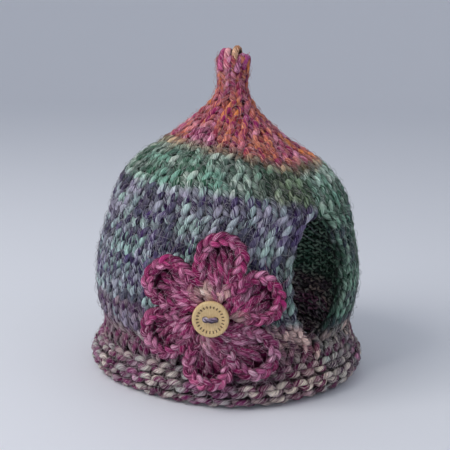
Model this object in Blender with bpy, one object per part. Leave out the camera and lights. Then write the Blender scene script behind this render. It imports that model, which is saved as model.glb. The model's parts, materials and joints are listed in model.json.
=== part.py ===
# A hand-knitted cosy with a rolled hem, two side slits, a pointed crown, a stalk and a crocheted flower.
# The origin is on the axis at the table. Azimuth 0 is the -Y side, and 90 degrees is the +X side.
import math
from collections import namedtuple

import bmesh
import bpy
import numpy as np

MM = 0.001

# The knitted wall: how thick the cloth is, and how finely its rings are divided
WALL = 6.0 * MM
COLUMNS_PER_PANEL = 27
HEM_FLAT = 4.5 * MM

# Outer face by height: radius, and how far the ring leans towards LEAN_AZIMUTH, in millimetres
Section = namedtuple("Section", "place height radius lean")
SECTIONS = (
    Section("hem", 0.0, 79.0, 0.0),
    Section("hem roll", 4.0, 82.6, 0.3),
    Section("brim", 11.0, 84.6, 1.0),
    Section("brim slope", 18.0, 80.4, 1.2),
    Section("brim top", 25.0, 77.2, 1.2),
    Section("waist", 31.0, 76.4, 0.8),
    Section("lower body", 40.0, 79.3, 0.0),
    Section("body", 55.0, 80.9, 0.0),
    Section("upper body", 75.0, 79.5, 0.0),
    Section("slit top", 88.0, 76.8, 0.7),
    Section("green band", 100.0, 73.8, 1.4),
    Section("shoulder", 113.0, 69.1, 1.3),
    Section("crown edge", 122.0, 63.3, 0.5),
    Section("crown", 132.0, 53.2, -0.6),
    Section("upper crown", 142.0, 37.4, -1.6),
    Section("crown neck", 152.0, 25.0, -1.0),
    Section("stalk flare", 160.0, 16.4, -0.4),
    Section("stalk foot", 165.5, 12.2, 0.6),
    Section("stalk", 171.0, 10.0, 0.8),
    Section("stalk middle", 183.0, 9.9, 0.8),
    Section("stalk end", 192.0, 10.0, 0.8),
    Section("stalk crest", 196.5, 7.4, 0.3),
)
LEAN_AZIMUTH = math.radians(136.5)
TOP = 198.0 * MM

# Garter ridges round the brim, and the columns of stitches up the stalk
BRIM_TOP = 30.0 * MM
RIDGES = 4
ROWS_PER_RIDGE = 4
RIDGE_RISE = 1.5 * MM
STALK_COLUMNS = 6
STALK_COLUMN_RISE = 0.9 * MM
STALK_FOOT = 166.0 * MM
STALK_KNOB = 1.8 * MM
STALK_KNOB_HEIGHT = 190.5 * MM

# Soft bulges and hollows of the worn cloth: where, how wide, how high up, and how far out
Bulge = namedtuple("Bulge", "place azimuth spread height tall out")
BULGES = (
    Bulge("brim, right of the flower", 53.0, 17.0, 6.0, 14.0, 2.2),
    Bulge("brim, left of the flower", 12.0, 24.0, 6.0, 14.0, -2.8),
    Bulge("brim under the handle", 104.0, 18.0, 9.0, 10.0, 1.0),
    Bulge("brim, back", 190.0, 24.0, 10.0, 12.0, -1.2),
    Bulge("brim, under the spout", 262.0, 20.0, 8.0, 12.0, 1.4),
    Bulge("left shoulder", 318.0, 34.0, 116.0, 14.0, 1.0),
    Bulge("back of the handle slit", 122.0, 16.0, 66.0, 26.0, 1.6),
    Bulge("front of the handle slit", 72.0, 12.0, 70.0, 26.0, 0.8),
    Bulge("back panel", 180.0, 36.0, 70.0, 30.0, -0.8),
)

# The almond-shaped slits between the two panels: full width at mid height, and the two ends
Slit = namedtuple("Slit", "azimuth width low high")
HANDLE_SLIT = Slit(math.radians(90), 43.0 * MM, 31.0 * MM, 106.0 * MM)
SPOUT_SLIT = Slit(math.radians(270), 32.0 * MM, 37.0 * MM, 103.0 * MM)
SLIT_ROUNDNESS = 0.62

# The rings above the brim, up to the stalk and along it
BODY_HEIGHTS = [h * MM for h in (31, 34, 37, 43, 51, 60, 70, 80, 89, 96.5, 103, 106)]
CROWN_HEIGHTS = [h * MM for h in (111, 117, 123, 129, 135, 141, 147, 153, 158, 162, 166)]
STALK_HEIGHTS = [h * MM for h in (171, 177, 183, 188.5, 192.5, 195.5, 197.4)]
INNER_CROWN_ROWS = 7

# The flower: where its centre lies on the cosy, and its petals by direction from there
FLOWER_AZIMUTH = math.radians(41.3)
FLOWER_HEIGHT = 53.5 * MM
FLOWER_GAP = 0.5 * MM
FLOWER_BRIDGE = 80.0 * MM
FLOWER_RINGS = 8
COLUMNS_PER_PETAL = 10
PETAL_NOTCH = 22.0 * MM
PETAL_RIM_WIDTH = 6.0 * MM
CENTRE_THICK = 5.6 * MM
CUP_THICK = 4.2 * MM
RIM_THICK = 8.6 * MM
NOTCH_THICK = 4.6 * MM
Petal = namedtuple("Petal", "place direction reach")
PETALS = (
    Petal("upper right", 24.0, 40.5),
    Petal("top", 83.0, 46.5),
    Petal("upper left", 143.0, 43.5),
    Petal("lower left", 204.0, 41.0),
    Petal("bottom", 266.0, 41.0),
    Petal("lower right", 316.0, 45.0),
)

# The wooden button and the yarn that holds it
BUTTON_RADIUS = 10.0 * MM
BUTTON_THICK = 3.4 * MM
BUTTON_ROUND = 1.2 * MM
BUTTON_DISH = 0.5 * MM
BUTTON_DISH_RADIUS = 7.6 * MM
BUTTON_SIDES = 40
HOLE_SPACING = 5.6 * MM
HOLE_RADIUS = 1.7 * MM
YARN_RADIUS = 1.35 * MM
GAP = 0.3 * MM

COLOURS = {
    "cosy": (0.36, 0.34, 0.42),
    "flower": (0.42, 0.10, 0.24),
    "button": (0.74, 0.58, 0.36),
    "button_yarn": (0.36, 0.28, 0.40),
}


def clear_scene():
    for thing in list(bpy.data.objects):
        bpy.data.objects.remove(thing, do_unlink=True)


def smooth_column(height, column):
    """A column of SECTIONS at any height, as a smooth curve through its rows."""
    x = np.array([row.height for row in SECTIONS]) * MM
    y = np.array([getattr(row, column) for row in SECTIONS]) * MM
    slope = np.gradient(y, x)
    t = np.clip(height, x[0], x[-1])
    k = np.clip(np.searchsorted(x, t, side="right") - 1, 0, len(x) - 2)
    span = x[k + 1] - x[k]
    u = (t - x[k]) / span
    start = (1 + 2 * u) * (1 - u) ** 2 * y[k] + u * (1 - u) ** 2 * span * slope[k]
    end = u ** 2 * (3 - 2 * u) * y[k + 1] + u ** 2 * (u - 1) * span * slope[k + 1]
    return start + end


def angle_apart(a, b):
    return (a - b + math.pi) % (2 * math.pi) - math.pi


def bulging(azimuth, height):
    """The sum of the worn cloth's soft bulges, each a bell shape round its place."""
    out = 0.0 * (azimuth + height)
    for bulge in BULGES:
        across = angle_apart(azimuth, math.radians(bulge.azimuth)) / math.radians(bulge.spread)
        up = (height - bulge.height * MM) / (bulge.tall * MM)
        out = out + bulge.out * MM * np.exp(-across ** 2 - up ** 2)
    return out


def ridging(height):
    """Garter ridges on the brim: even waves that start and end at a valley."""
    wave = 0.5 - 0.5 * math.cos(2 * math.pi * RIDGES * height / BRIM_TOP)
    return RIDGE_RISE * wave if height < BRIM_TOP else 0.0


def columning(azimuth, height):
    """Raised stitch columns up the stalk, which fade in above its foot, and the knob on one side."""
    if height < STALK_FOOT:
        return 0.0
    fade = min(1.0, (height - STALK_FOOT) / (5 * MM))
    column = STALK_COLUMN_RISE * fade * math.cos(STALK_COLUMNS * (azimuth - LEAN_AZIMUTH) + math.pi)
    away = angle_apart(azimuth, LEAN_AZIMUTH) / 0.8
    up = (height - STALK_KNOB_HEIGHT) / (4 * MM)
    return column + STALK_KNOB * math.exp(-away ** 2 - up ** 2)


def ring_point(azimuth, height, radius):
    lean = smooth_column(height, "lean")
    x = radius * math.sin(azimuth) + lean * math.sin(LEAN_AZIMUTH)
    y = -radius * math.cos(azimuth) - lean * math.cos(LEAN_AZIMUTH)
    return (float(x), float(y), float(height))


def outer_point(azimuth, height):
    radius = smooth_column(height, "radius") + bulging(azimuth, height)
    if height >= STALK_HEIGHTS[-1]:
        radius = 4.2 * MM
    return ring_point(azimuth, height, radius + ridging(height) + columning(azimuth, height))


def inner_point(azimuth, height):
    """A point one wall's thickness in from the outer face, square to its slope."""
    step = 0.5 * MM
    rise = smooth_column(height + step, "radius") - smooth_column(max(height - step, 0), "radius")
    tilt = math.atan2(rise, 2 * step)
    radius = smooth_column(height, "radius") + bulging(azimuth, height) - WALL * math.cos(tilt)
    return ring_point(azimuth, max(height + WALL * math.sin(tilt), 0.0), radius)


def half_angle(slit, height):
    """Half of a slit's opening at a height, as an angle: an almond, widest at its middle."""
    share = (height - slit.low) / (slit.high - slit.low)
    if share <= 0 or share >= 1:
        return 0.0
    half = 0.5 * slit.width * math.sin(math.pi * share) ** SLIT_ROUNDNESS
    return half / smooth_column(height, "radius")


def panel_azimuths(height):
    """Azimuths of the column lines of the front and the back panel at one height."""
    handle, spout = half_angle(HANDLE_SLIT, height), half_angle(SPOUT_SLIT, height)
    right, left = HANDLE_SLIT.azimuth, SPOUT_SLIT.azimuth
    front = np.linspace(left - 2 * math.pi + spout, right - handle, COLUMNS_PER_PANEL + 1)
    back = np.linspace(right + handle, left - spout, COLUMNS_PER_PANEL + 1)
    return front, back


class Shell:
    """Rings of points, open at the slits, joined into one closed mesh."""

    def __init__(self):
        self.points, self.faces = [], []

    def add(self, point):
        self.points.append(point)
        return len(self.points) - 1

    def ring(self, height, place, slit_height=None):
        """One ring as two lists of points, which share their ends where no slit parts them."""
        at = height if slit_height is None else slit_height
        front, back = panel_azimuths(at)
        a = [self.add(place(azimuth, height)) for azimuth in front]
        b = [self.add(place(azimuth, height)) for azimuth in back[1:-1]]
        if half_angle(HANDLE_SLIT, at) > 0:
            b.insert(0, self.add(place(back[0], height)))
        else:
            b.insert(0, a[-1])
        b.append(self.add(place(back[-1], height)) if half_angle(SPOUT_SLIT, at) > 0 else a[0])
        return a, b

    def join(self, low, high, inward=False):
        for below, above in zip(low, high):
            for k in range(COLUMNS_PER_PANEL):
                quad = [below[k], below[k + 1], above[k + 1], above[k]]
                self.faces.append(quad[::-1] if inward else quad)

    def cap(self, ring, point, inward=False):
        tip = self.add(point)
        for side in ring:
            for k in range(COLUMNS_PER_PANEL):
                face = [side[k], side[k + 1], tip]
                self.faces.append(face[::-1] if inward else face)

    def slit_edge(self, outer, inner, panel, column, turned):
        """The strip of cloth thickness along one edge of a slit."""
        for j in range(len(outer) - 1):
            a, b = outer[j][panel][column], outer[j + 1][panel][column]
            c, d = inner[j + 1][panel][column], inner[j][panel][column]
            self.faces.append([d, c, b, a] if turned else [a, b, c, d])


def slit_rows(slit):
    """The first and last of BODY_HEIGHTS that bound a slit, as indices."""
    inside = [k for k, height in enumerate(BODY_HEIGHTS) if half_angle(slit, height) > 0]
    return inside[0] - 1, inside[-1] + 1


def cosy_mesh():
    shell = Shell()
    brim_rows = RIDGES * ROWS_PER_RIDGE
    brim_heights = [BRIM_TOP * k / brim_rows for k in range(brim_rows)]
    outer_brim = [shell.ring(height, outer_point) for height in brim_heights]
    outer_body = [shell.ring(height, outer_point) for height in BODY_HEIGHTS]
    outer_top = [shell.ring(height, outer_point) for height in CROWN_HEIGHTS + STALK_HEIGHTS]
    hem_radius = SECTIONS[0].radius * MM - HEM_FLAT
    hem_inner = shell.ring(0.0, lambda a, h: ring_point(a, h, hem_radius + bulging(a, h)))
    inner_brim = [shell.ring(height, inner_point) for height in brim_heights[4::4]]
    inner_body = [shell.ring(height, inner_point) for height in BODY_HEIGHTS]
    inner_top = [shell.ring(height, inner_point) for height in CROWN_HEIGHTS[:INNER_CROWN_ROWS]]

    outer = outer_brim + outer_body + outer_top
    inner = [hem_inner] + inner_brim + inner_body + inner_top
    for low, high in zip(outer, outer[1:]):
        shell.join(low, high)
    for low, high in zip(inner, inner[1:]):
        shell.join(low, high, inward=True)
    shell.join(hem_inner, outer_brim[0])
    shell.cap(outer[-1], ring_point(0.0, TOP, 0.0))
    inner_tip = inner_point(0.0, CROWN_HEIGHTS[INNER_CROWN_ROWS])[2]
    shell.cap(inner[-1], ring_point(0.0, inner_tip, 0.0), inward=True)

    last = COLUMNS_PER_PANEL
    for slit, sides in ((HANDLE_SLIT, ((0, last), (1, 0))), (SPOUT_SLIT, ((1, last), (0, 0)))):
        first, end = slit_rows(slit)
        rows = slice(first, end + 1)
        for panel, column in sides:
            shell.slit_edge(outer_body[rows], inner_body[rows], panel, column, column == last)
    return shell.points, shell.faces


def petal_outline(direction):
    """How far the flower reaches in a direction: round lobes that meet at shallow notches."""
    angles = [math.radians(petal.direction) for petal in PETALS]
    turn = direction % (2 * math.pi)
    for k, petal in enumerate(PETALS):
        start, end = angles[k], angles[(k + 1) % len(PETALS)]
        gap = (end - start) % (2 * math.pi)
        share = ((turn - start) % (2 * math.pi)) / gap
        if share < 1:
            near = petal if share < 0.5 else PETALS[(k + 1) % len(PETALS)]
            lobe = math.cos(math.pi * min(share, 1 - share)) ** 0.5
            return PETAL_NOTCH + (near.reach * MM - PETAL_NOTCH) * lobe, lobe
    return PETAL_NOTCH, 0.0


def flower_directions():
    """Column directions, evenly shared out between each petal and the next."""
    angles = [math.radians(petal.direction) for petal in PETALS]
    found = []
    for start, end in zip(angles, angles[1:] + [angles[0] + 2 * math.pi]):
        found += [start + (end - start) * k / COLUMNS_PER_PETAL for k in range(COLUMNS_PER_PETAL)]
    return found


def flower_thickness(distance, reach, lobe):
    """A boss under the button, a dip in each petal, and a raised rim that rounds off at the edge."""
    boss = math.exp(-(distance / (13 * MM)) ** 4)
    rim_thick = NOTCH_THICK + (RIM_THICK - NOTCH_THICK) * lobe
    rim = math.exp(-((reach - PETAL_RIM_WIDTH * 0.5 - distance) / (PETAL_RIM_WIDTH * 0.62)) ** 2)
    body = CUP_THICK + (rim_thick - CUP_THICK) * rim
    return boss * CENTRE_THICK + (1 - boss) * body


def flower_point(direction, distance, thick):
    """A place on the flower, wrapped round the cosy at a height above its face."""
    height = FLOWER_HEIGHT + distance * math.sin(direction)
    ring = smooth_column(FLOWER_HEIGHT, "radius")
    azimuth = FLOWER_AZIMUTH + distance * math.cos(direction) / ring
    cloth = smooth_column(height, "radius") + bulging(azimuth, height)
    if height < BRIM_TOP:
        cloth += RIDGE_RISE
    if height < FLOWER_HEIGHT:
        cloth = max(cloth, FLOWER_BRIDGE)
    return ring_point(azimuth, height, cloth + FLOWER_GAP + thick)


def flower_mesh():
    directions = flower_directions()
    count = len(directions)
    edge = [petal_outline(direction) for direction in directions]
    shares = [(k + 1) / FLOWER_RINGS for k in range(FLOWER_RINGS)]
    points, rings = [], []
    for share in shares:
        rings.append(len(points))
        for direction, (reach, lobe) in zip(directions, edge):
            distance = reach * share ** 0.85
            thick = flower_thickness(distance, reach, lobe)
            if share == 1:
                thick = 0.45 * thick
            points.append(flower_point(direction, distance, thick))
    for share in (0.97, 0.7, 0.35):
        rings.append(len(points))
        for direction, (reach, lobe) in zip(directions, edge):
            points.append(flower_point(direction, reach * share, 0.0))
    faces = []
    for start, end in zip(rings, rings[1:]):
        for k in range(count):
            after = (k + 1) % count
            faces.append([start + k, end + k, end + after, start + after])
    front, back = len(points), len(points) + 1
    points += [flower_point(0.0, 0.0, CENTRE_THICK), flower_point(0.0, 0.0, 0.0)]
    for k in range(count):
        after = (k + 1) % count
        faces.append([front, rings[0] + k, rings[0] + after])
        faces.append([back, rings[-1] + after, rings[-1] + k])
    return points, faces


def new_object(name, mesh):
    material = bpy.data.materials.new(name)
    material.use_nodes = True
    shader = material.node_tree.nodes["Principled BSDF"]
    shader.inputs["Base Color"].default_value = (*COLOURS[name], 1.0)
    shader.inputs["Roughness"].default_value = 0.55 if name == "button" else 0.95
    shader.inputs["Metallic"].default_value = 0.0
    mesh.materials.append(material)
    thing = bpy.data.objects.new(name, mesh)
    bpy.context.scene.collection.objects.link(thing)
    return thing


def mesh_object(name, points, faces):
    mesh = bpy.data.meshes.new(name)
    mesh.from_pydata(points, [], faces)
    work = bmesh.new()
    work.from_mesh(mesh)
    bmesh.ops.triangulate(work, faces=[f for f in work.faces if len(f.verts) > 3])
    bmesh.ops.recalc_face_normals(work, faces=work.faces)
    work.to_mesh(mesh)
    work.free()
    mesh.shade_smooth()
    return new_object(name, mesh)


def button_base():
    """How far from the axis the back of the button lies."""
    ring = smooth_column(FLOWER_HEIGHT, "radius") + bulging(FLOWER_AZIMUTH, FLOWER_HEIGHT)
    return float(ring + FLOWER_GAP + CENTRE_THICK + GAP)


def lay_on_flower(thing):
    """Turns an object whose +Z is its front to face outwards at the flower's centre."""
    thing.location = ring_point(FLOWER_AZIMUTH, FLOWER_HEIGHT, button_base())
    thing.rotation_euler = (math.pi / 2, 0.0, FLOWER_AZIMUTH)


def make_button():
    """A turned disc with a rounded edge and a shallow dish, with two holes cut through."""
    corner = [math.radians(a) for a in (0, 30, 60, 90)]
    flat = BUTTON_RADIUS - BUTTON_ROUND
    dish = [(BUTTON_DISH_RADIUS * 0.9, BUTTON_THICK - BUTTON_DISH), (BUTTON_DISH_RADIUS, BUTTON_THICK)]
    top = [(flat + BUTTON_ROUND * math.sin(a), BUTTON_THICK - BUTTON_ROUND * (1 - math.cos(a))) for a in corner]
    low = [(flat + BUTTON_ROUND * math.cos(a), BUTTON_ROUND * (1 - math.sin(a))) for a in corner]
    profile = dish + top + low
    points, faces = [], []
    for radius, height in profile:
        for k in range(BUTTON_SIDES):
            turn = 2 * math.pi * k / BUTTON_SIDES
            points.append((radius * math.cos(turn), radius * math.sin(turn), height))
    for ring in range(len(profile) - 1):
        for k in range(BUTTON_SIDES):
            after = (k + 1) % BUTTON_SIDES
            low_k, high_k = ring * BUTTON_SIDES, (ring + 1) * BUTTON_SIDES
            faces.append([low_k + k, high_k + k, high_k + after, low_k + after])
    faces.append(list(range(BUTTON_SIDES)))
    faces.append(list(range(len(points) - BUTTON_SIDES, len(points)))[::-1])
    button = mesh_object("button", points, faces)
    for side in (-1, 1):
        drill = bmesh.new()
        bmesh.ops.create_cone(drill, cap_ends=True, segments=16, radius1=HOLE_RADIUS,
                              radius2=HOLE_RADIUS, depth=3 * BUTTON_THICK)
        bmesh.ops.translate(drill, verts=drill.verts, vec=(side * HOLE_SPACING / 2, 0, BUTTON_THICK / 2))
        mesh = bpy.data.meshes.new("drill")
        drill.to_mesh(mesh)
        drill.free()
        cutter = bpy.data.objects.new(f"drill_{side}", mesh)
        bpy.context.scene.collection.objects.link(cutter)
        cutter.hide_render = True
        cutter.display_type = "WIRE"
        lay_on_flower(cutter)
        cut = button.modifiers.new("hole", "BOOLEAN")
        cut.operation = "DIFFERENCE"
        cut.object = cutter
    button.data.set_sharp_from_angle(angle=math.radians(40))
    lay_on_flower(button)


def make_button_yarn():
    """A strand that comes up through one hole, crosses the front and goes down the other."""
    over = BUTTON_THICK - BUTTON_DISH + GAP + YARN_RADIUS
    half = HOLE_SPACING / 2
    bend = 1.1 * MM
    turns = [math.radians(a) for a in (0, 30, 60, 90)]
    rise = [(-half + bend * (1 - math.cos(a)), over - bend + bend * math.sin(a)) for a in turns]
    path = [(-half, 0.3 * MM)] + rise
    path += [(-x, z) for x, z in reversed(path)]
    curve = bpy.data.curves.new("button_yarn", "CURVE")
    curve.dimensions = "3D"
    curve.bevel_depth = YARN_RADIUS
    curve.bevel_resolution = 2
    curve.use_fill_caps = True
    spline = curve.splines.new("POLY")
    spline.points.add(len(path) - 1)
    for point, (x, z) in zip(spline.points, path):
        point.co = (x, 0.0, z, 1.0)
    yarn = new_object("button_yarn", curve)
    lay_on_flower(yarn)


def main():
    clear_scene()
    mesh_object("cosy", *cosy_mesh())
    mesh_object("flower", *flower_mesh())
    make_button()
    make_button_yarn()


main()
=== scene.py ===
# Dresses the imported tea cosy: knitted yarn course by course, a crocheted flower and a wooden button.
# Azimuth 0 is the -Y side and 90 degrees the +X side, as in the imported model.
import json
import math

import bmesh
import bpy
import numpy as np
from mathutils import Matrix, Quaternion, Vector

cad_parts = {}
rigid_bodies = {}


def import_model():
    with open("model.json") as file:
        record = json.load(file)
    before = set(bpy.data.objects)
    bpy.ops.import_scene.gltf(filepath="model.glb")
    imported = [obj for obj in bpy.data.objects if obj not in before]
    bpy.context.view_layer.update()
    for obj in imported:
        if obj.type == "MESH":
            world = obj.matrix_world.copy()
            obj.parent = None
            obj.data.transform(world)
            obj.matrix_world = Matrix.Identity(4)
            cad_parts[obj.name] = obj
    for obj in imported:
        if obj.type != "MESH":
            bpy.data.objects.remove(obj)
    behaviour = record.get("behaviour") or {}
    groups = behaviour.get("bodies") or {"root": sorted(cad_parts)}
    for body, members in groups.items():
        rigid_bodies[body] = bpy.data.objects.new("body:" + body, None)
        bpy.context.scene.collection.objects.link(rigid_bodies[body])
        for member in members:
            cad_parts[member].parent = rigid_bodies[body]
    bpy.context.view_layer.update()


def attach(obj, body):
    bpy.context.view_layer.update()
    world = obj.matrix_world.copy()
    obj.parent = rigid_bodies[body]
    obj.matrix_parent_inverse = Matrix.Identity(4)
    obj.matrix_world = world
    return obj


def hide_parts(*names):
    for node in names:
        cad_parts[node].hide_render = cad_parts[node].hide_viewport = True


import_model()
mm = 0.001
turn = 2 * math.pi
print("frame loaded")

# The view: where the camera stands, and how it is framed
viewValues = {
    "azimuth": 46.5,
    "elevation": 11.3,
    "distance": 0.55,
    "targetHeight": 87.3 * mm,
    "lens": 70.4,
    "shiftX": -0.00644,
    "roll": 1.4,
}

# The floor, the world and the lamps
studioValues = {
    "floorColour": (0.84, 0.86, 0.92),
    "flatRadius": 2.4,
    "rise": 2.2,
    "floorSides": 96,
    "worldColour": (0.84, 0.88, 0.96),
    "worldStrength": 0.5,
    # degrees on from the camera, elevation, distance, power, size and colour
    "lamps": {
        "keyLight": (-58, 40, 1.4, 10.8, 0.9, (1.0, 0.98, 0.95)),
        "fillLight": (60, 25, 1.6, 1.6, 1.2, (0.95, 0.97, 1.0)),
    },
    # the little daylight that passes through the knitting into the hollow
    "hollowPower": 0.02,
    "hollowSize": 0.03,
    "hollowHeight": 0.06,
    "hollowColour": (0.9, 0.94, 1.0),
}

# The cosy's outer face by height, in millimetres: radius, and lean towards leanAzimuth
profileValues = {
    "height": (0, 4, 11, 18, 25, 31, 40, 55, 75, 88, 100, 113, 122, 132, 142, 152, 160, 165.5, 171, 183,
               192, 196.5),
    "radius": (79, 82.6, 84.6, 80.4, 77.2, 76.4, 79.3, 80.9, 79.5, 76.8, 73.8, 69.1, 63.3, 53.2, 37.4, 25,
               16.4, 12.2, 10, 9.9, 10, 7.4),
    "lean": (0, 0.3, 1, 1.2, 1.2, 0.8, 0, 0, 0, 0.7, 1.4, 1.3, 0.5, -0.6, -1.6, -1, -0.4, 0.6, 0.8, 0.8,
             0.8, 0.3),
    "leanAzimuth": 136.5,
    # azimuth, spread in degrees, height, tall and out in millimetres
    "bulges": (
        (53, 17, 6, 14, 2.2),
        (12, 24, 6, 14, -2.8),
        (104, 18, 9, 10, 1.0),
        (190, 24, 10, 12, -1.2),
        (262, 20, 8, 12, 1.4),
        (318, 34, 116, 14, 1.0),
        (122, 16, 66, 26, 1.6),
        (72, 12, 70, 26, 0.8),
        (180, 36, 70, 30, -0.8),
    ),
    "brimTop": 30 * mm,
    "ridges": 4,
    "ridgeRise": 1.5 * mm,
}

# The two slits: azimuth in radians, full width, low end and high end
slitValues = {
    "handle": (math.radians(90), 43 * mm, 31 * mm, 106 * mm),
    "spout": (math.radians(270), 32 * mm, 37 * mm, 103 * mm),
    "roundness": 0.62,
}

# The yarn that everything is knitted from
yarnValues = {
    "radius": 2.0 * mm,
    "unevenness": 0.1,
    "sides": 8,
    "pointsPerStitch": 16,
    # painted shade: the share of the yarn's colour left where it lies furthest at the back of a loop
    "behind": 0.08,
}


def smoothCurve(height, column):
    # a cubic through the rows of the profile, with slopes taken from the neighbours
    x = np.array(profileValues["height"]) * mm
    y = np.array(profileValues[column]) * mm
    slope = np.gradient(y, x)
    t = np.clip(height, x[0], x[-1])
    k = np.clip(np.searchsorted(x, t, side="right") - 1, 0, len(x) - 2)
    span = x[k + 1] - x[k]
    u = (t - x[k]) / span
    start = (1 + 2 * u) * (1 - u) ** 2 * y[k] + u * (1 - u) ** 2 * span * slope[k]
    end = u ** 2 * (3 - 2 * u) * y[k + 1] + u ** 2 * (u - 1) * span * slope[k + 1]
    return start + end


def apart(a, b):
    return (a - b + math.pi) % turn - math.pi


def bulging(azimuth, height):
    # the sum of soft bells, each out * exp(-across squared - up squared)
    out = 0.0 * (azimuth + height)
    for where, spread, level, tall, rise in profileValues["bulges"]:
        across = apart(azimuth, math.radians(where)) / math.radians(spread)
        up = (height - level * mm) / (tall * mm)
        out = out + rise * mm * np.exp(-across ** 2 - up ** 2)
    return out


# The profile once, finely: height, radius, lean, tilt and the length of cloth up from the table
fineHeight = np.linspace(0, 196.5, 787) * mm
fineRadius = smoothCurve(fineHeight, "radius")
fineLean = smoothCurve(fineHeight, "lean")
fineTilt = np.arctan(np.gradient(fineRadius, fineHeight))
fineAlong = np.concatenate([[0], np.cumsum(np.hypot(np.diff(fineHeight), np.diff(fineRadius)))])
leanAzimuth = math.radians(profileValues["leanAzimuth"])
leanWay = np.array([math.sin(leanAzimuth), -math.cos(leanAzimuth), 0])


def alongAt(height):
    return float(np.interp(height, fineHeight, fineAlong))


def heightAt(along):
    return np.interp(along, fineAlong, fineHeight)


def radiusAt(height):
    return np.interp(height, fineHeight, fineRadius)


def ringPoint(azimuth, ring, height, lean):
    # x = ring * sin(azimuth) and y = -ring * cos(azimuth), both moved by lean
    x = ring * np.sin(azimuth) + lean * leanWay[0]
    y = -ring * np.cos(azimuth) + lean * leanWay[1]
    return np.stack([x, y, height], axis=-1)


def onCloth(azimuth, along, depth):
    # a ring point at that length of cloth up from the table, moved out square to the cloth by depth
    height = heightAt(along)
    tilt = np.interp(along, fineAlong, fineTilt)
    ring = np.interp(along, fineAlong, fineRadius) + bulging(azimuth, height) + depth * np.cos(tilt)
    lean = np.interp(along, fineAlong, fineLean)
    point = ringPoint(azimuth, ring, height - depth * np.sin(tilt), lean)
    return point, ringPoint(azimuth, np.cos(tilt), -np.sin(tilt), 0)


def halfSlit(name, height):
    # half a slit's opening as an angle: an almond, widest at its middle
    _, width, low, high = slitValues[name]
    share = np.clip((height - low) / (high - low), 0, 1)
    half = 0.5 * width * np.sin(math.pi * share) ** slitValues["roundness"]
    return half / radiusAt(height)


def panelEdges(side, height):
    # the azimuths where the front or back panel starts and ends at a height
    if side == "front":
        return -math.pi / 2 + halfSlit("spout", height), math.pi / 2 - halfSlit("handle", height)
    return math.pi / 2 + halfSlit("handle", height), 1.5 * math.pi - halfSlit("spout", height)


def softNoise(x, seed):
    # smooth noise along a line, from -1 to 1
    table = np.random.default_rng(seed).uniform(-1, 1, 1024)
    k = np.floor(x).astype(int)
    f = x - k
    s = f * f * (3 - 2 * f)
    return table[k % 1024] * (1 - s) + table[(k + 1) % 1024] * s


def patchNoise(x, y, seed):
    # smooth noise over a plane, from -1 to 1
    table = np.random.default_rng(seed).uniform(-1, 1, (64, 64))
    i, j = np.floor(x).astype(int), np.floor(y).astype(int)
    f, g = x - i, y - j
    f, g = f * f * (3 - 2 * f), g * g * (3 - 2 * g)
    low = table[i % 64, j % 64] * (1 - f) + table[(i + 1) % 64, j % 64] * f
    high = table[i % 64, (j + 1) % 64] * (1 - f) + table[(i + 1) % 64, (j + 1) % 64] * f
    return low * (1 - g) + high * g


def linear(colour):
    c = np.array(colour, float) / 255
    return np.where(c <= 0.04045, c / 12.92, ((c + 0.055) / 1.055) ** 2.4)


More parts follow.
